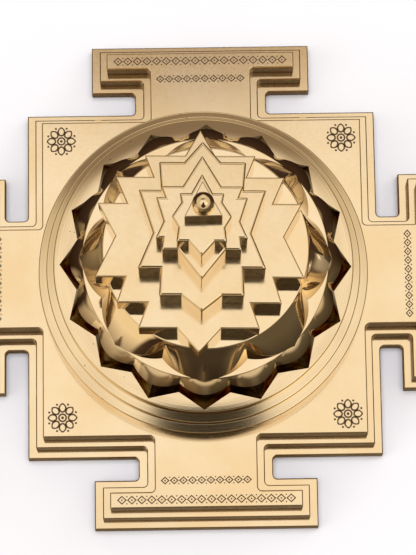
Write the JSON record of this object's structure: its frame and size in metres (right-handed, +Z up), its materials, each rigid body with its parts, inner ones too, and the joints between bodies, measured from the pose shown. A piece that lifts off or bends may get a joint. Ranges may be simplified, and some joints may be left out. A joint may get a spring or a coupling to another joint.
{
  "type": "shri yantra",
  "caption": "Polished brass Meru shri yantra: square plates with T-shaped gates, round steps, lotus tiers, nested star levels, a triangle and a small ball on top.",
  "frame": {"origin": "middle of the underside, on the surface that the object stands on", "axes": "+Z up through the middle of the tiers; -Y toward the front, the side nearest the viewer; +X to the viewer's right"},
  "size_m": [0.15, 0.15, 0.103],
  "materials": {
    "polished_brass": "mirror polish",
    "turned_brass": "turned and buffed",
    "fixing_steel": "plain zinc-plated"
  },
  "bodies": {
    "root": {"bhupura_lower": "polished_brass", "bhupura_middle": "polished_brass", "bhupura_upper": "polished_brass", "ring_lower": "turned_brass", "ring_middle": "turned_brass", "ring_upper": "polished_brass", "lotus_sixteen": "polished_brass", "lotus_eight": "polished_brass", "star_fourteen": "polished_brass", "star_ten_outer": "polished_brass", "star_ten_inner": "polished_brass", "star_eight": "polished_brass", "triangle": "polished_brass", "bindu": "polished_brass", "tie_rod": "fixing_steel", "tie_washer": "fixing_steel", "tie_nut": "fixing_steel", "plate_screw_front_left": "fixing_steel", "plate_screw_front_right": "fixing_steel", "plate_screw_back_left": "fixing_steel", "plate_screw_back_right": "fixing_steel", "ring_pin_a": "turned_brass", "ring_pin_b": "turned_brass", "lotus_pin_a": "turned_brass", "lotus_pin_b": "turned_brass", "star_pin_a": "turned_brass", "star_pin_b": "turned_brass", "triangle_pin_a": "turned_brass", "triangle_pin_b": "turned_brass"}
  },
  "joints": []
}
